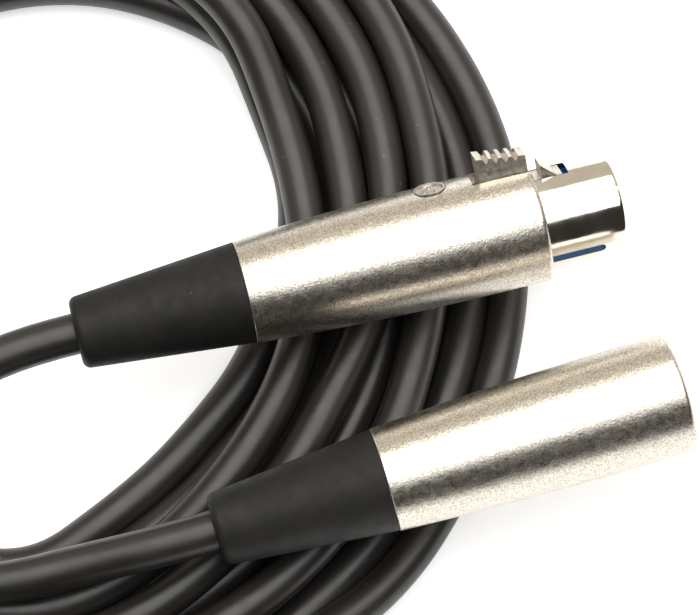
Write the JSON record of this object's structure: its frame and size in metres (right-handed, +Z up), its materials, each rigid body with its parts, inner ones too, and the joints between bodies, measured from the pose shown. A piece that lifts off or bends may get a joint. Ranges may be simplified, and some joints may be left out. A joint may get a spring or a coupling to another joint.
{
  "type": "xlr cable coil",
  "caption": "Coiled microphone cable with its socket and plug connectors lying across the coil; the socket end has a sprung latch that a thumb presses.",
  "frame": {"origin": "under the middle of the whole object, on the surface it lies on", "axes": "+X along the female connector towards its nose, +Z up"},
  "size_m": [0.1756, 0.156, 0.0329],
  "materials": {
    "satin_nickel": "granular satin nickel plate",
    "polished_nickel": "polished nickel plate",
    "badge": "satin, with a raised rim",
    "black_rubber": "matte, slightly textured",
    "blue_plastic": "semi-gloss moulded",
    "contact_metal": "plated contact metal",
    "steel": "bright steel",
    "grey_plastic": "matte moulded",
    "cable_jacket": "matte flexible PVC",
    "copper": "tinned strands",
    "red_core": "semi-gloss insulation",
    "white_core": "semi-gloss insulation"
  },
  "bodies": {
    "cable_assembly": {"female_shell": "satin_nickel", "female_badge": "badge", "female_boot": "black_rubber", "female_nose": "polished_nickel", "female_insert": "blue_plastic", "latch_pin": "steel", "female_clamp": "grey_plastic", "female_clamp_screws": "steel", "female_insert_screw": "steel", "female_cable_end": "cable_jacket", "female_contact_1": "contact_metal", "female_contact_2": "contact_metal", "female_contact_3": "contact_metal", "female_drain_wire": "copper", "female_red_core": "red_core", "female_white_core": "white_core", "male_shell": "satin_nickel", "male_boot": "black_rubber", "male_insert": "blue_plastic", "male_clamp": "grey_plastic", "male_clamp_screws": "steel", "male_insert_screw": "steel", "male_cable_end": "cable_jacket", "male_pin_1": "contact_metal", "male_pin_2": "contact_metal", "male_pin_3": "contact_metal", "male_drain_wire": "copper", "male_red_core": "red_core", "male_white_core": "white_core", "cable_coil": "cable_jacket", "female_lead": "cable_jacket", "male_lead": "cable_jacket"},
    "latch": {"latch_lever": "polished_nickel", "latch_spring": "steel"}
  },
  "joints": [
    {"name": "latch_press", "type": "hinge", "parent": "cable_assembly", "child": "latch", "pos_m": [0.0575, -0.01298, 0.02711], "axis": [0, 0.6561, -0.7547], "range_deg": [0, 6], "stiffness_Nm_per_rad": 0.05, "springref_deg": -11.46}
  ]
}
